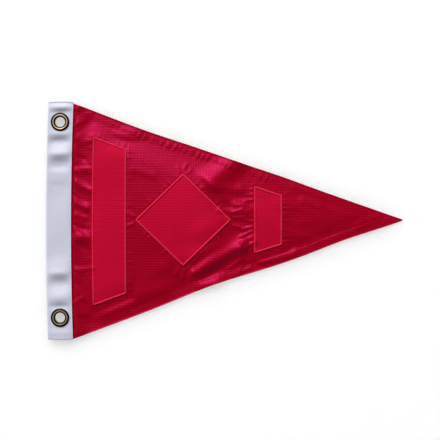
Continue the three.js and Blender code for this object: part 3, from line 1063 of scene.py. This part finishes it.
def makeEyelet(node):
    # up the bore, over the rolled rim to its lip, back under it, down the barrel and out round the curl
    low, high = nodeBox(node)
    rimRadius = (high[0] - low[0]) / 2
    crown, base = high[2], high[2] - eyelet["rimHeight"]
    hole, barrel, ridge = eyelet["holeRadius"], eyelet["barrelRadius"], eyelet["crownRadius"]
    curl, rise, flare = eyelet["curlRadius"], eyelet["curlHeight"], eyelet["flare"]
    fillet, small = eyelet["fillet"], eyelet["curlFillet"]
    profile = np.concatenate([
        arc((ridge, base - flare), (ridge - hole, crown - base + flare), 180, 90, 18),
        arc((ridge, base), (rimRadius - ridge, crown - base), 85, 0, 16),
        [(rimRadius - eyelet["rimThick"], base), (barrel + fillet, base)],
        [(barrel, base - fillet), (barrel, rise + small), (barrel + small, rise)],
        arc((curl - rise, 0), (rise, rise), 90, 0, 6),
        [(curl - rise, 0), (barrel + 2 * small, 0)],
        arc((barrel, rise), (barrel - hole, rise), 270, 185, 6),
    ])
    # a painted highlight: bright metal in a band over the rim's crown, with painted shade on the flanks
    # either side
    wearAndHighlight = bell((profile[:, 0] - ridge) / eyelet["highlightWidth"]) * ease((profile[:, 1] - base) / (crown - base))
    return turned(node, profile, wearAndHighlight)


def makeWasher(node):
    # a flat ring with rounded rims
    low, high = nodeBox(node)
    outerRadius, half = (high[0] - low[0]) / 2, (high[2] - low[2]) / 2
    inner = eyelet["barrelRadius"] + eyelet["washerGap"]
    level = (low[2] + high[2]) / 2
    profile = np.concatenate([
        arc((outerRadius - half, level), (half, half), 90, -90, 9),
        arc((inner + half, level), (half, half), 270, 90, 9),
    ])
    return turned(node, profile, np.full(len(profile), eyelet["washerWorn"]))


print("eyelets")
for side in ("upper", "lower"):
    makeEyelet(side + "_eyelet")
    makeWasher(side + "_washer")
# Floor, light and camera

studio = {
    "photoPixels": 440,
    "flagPixels": 356.0,  # the flag's length in the photo
    "hoistPixel": 46.2,  # the hoist's column
    "middlePixel": 220.8,  # the row of the flag's middle
    "cameraHeight": 1.7,
    "sensor": 36,
    "floorSize": 12,
    "floorThick": 0.3,
    "floorColour": (0.555, 0.575, 0.555),
    "floorSpread": 0.10,  # light spreads this far in the floor, which softens the shadow's edge
    "floorGlow": 0.42,
    "keyWay": (-0.40, 0.92, 0.60),  # towards the key light, which is far off
    "keySpread": 30,  # degrees across
    "keyStrength": 4.6,
    "glossPlace": (-0.42, 0.88, 1.5),
    "glossSize": 0.6,
    "glossPower": 12.5,
    "skyStrength": 0.34,
    "skyColour": (1.0, 0.73, 1.0),
    "skyFade": (0.4, 0.9, 1, 0.03),  # from this height of the sky to that one, and its shares there
    "backdropColour": (2.7, 2.7, 2.7),
    "backdropFade": (0.02, 0.16, 1, 0),
}


def addFloor():
    # one large slab, its top just under what the flag rests on
    half, level = studio["floorSize"] / 2, -0.05 * mm
    sides = np.array([-half, half])
    top = stacked(sides[:, None], sides, level)
    floor = addShell("floor", top, top - [0, 0, studio["floorThick"]])
    material, tree, shader = newMaterial("studio floor")
    setInputs(tree, shader, {
        "Base Color": studio["floorColour"],
        "Roughness": 0.9,
        "Specular IOR Level": 0.0,
        "Subsurface Weight": 1.0,
        "Subsurface Radius": (1, 1, 1),
        "Subsurface Scale": studio["floorSpread"],
        "Emission Color": (1, 1, 1),
        "Emission Strength": studio["floorGlow"],
    })
    floor.data.materials.append(material)


def addLamp(name, kind, place, energy):
    # a light at its place, facing the flag
    lamp = bpy.data.lights.new(name, kind)
    lamp.energy = energy
    source = addObject(name, lamp)
    source.location = place
    x, y, z = place
    source.rotation_euler = (np.arctan2(np.hypot(x, y), z), 0, np.arctan2(x, -y))
    return source


def addCamera():
    # straight above the middle of the photo, with a lens that spans its width
    perPixel = flagLength / studio["flagPixels"]
    span = perPixel * studio["photoPixels"]
    data = bpy.data.cameras.new("camera")
    data.sensor_width = studio["sensor"]
    data.lens = studio["sensor"] * studio["cameraHeight"] / span
    camera = addObject("camera", data)
    middle = studio["photoPixels"] / 2
    camera.location = (
        hoistX + (middle - studio["hoistPixel"]) * perPixel,
        (studio["middlePixel"] - middle) * perPixel,
        studio["cameraHeight"],
    )
    bpy.context.scene.camera = camera


def addSky():
    # soft, faintly rosy light from all round, less from straight above, and a white backdrop at the horizon
    world = bpy.data.worlds.new("studio")
    world.use_nodes = True
    bpy.context.scene.world = world
    tree = world.node_tree
    way = addNode(tree, "TexCoord")["Generated"]
    up = addNode(tree, "SeparateXYZ", {0: way})[2]
    sky = mixColour(tree, mapRange(tree, up, *studio["skyFade"]), (0, 0, 0), studio["skyColour"])
    backdrop = mapRange(tree, up, *studio["backdropFade"])
    setInputs(tree, tree.nodes["Background"], {
        "Color": mixColour(tree, backdrop, sky, studio["backdropColour"]),
        "Strength": studio["skyStrength"],
    })


print("studio")
addFloor()
key = addLamp("key", "SUN", studio["keyWay"], studio["keyStrength"])
key.data.angle = np.radians(studio["keySpread"])
key.visible_glossy = False  # as if it came through a polarising sheet
addLamp("gloss", "AREA", studio["glossPlace"], studio["glossPower"]).data.size = studio["glossSize"]
addSky()
addCamera()
bpy.context.scene.view_settings.view_transform = "Standard"
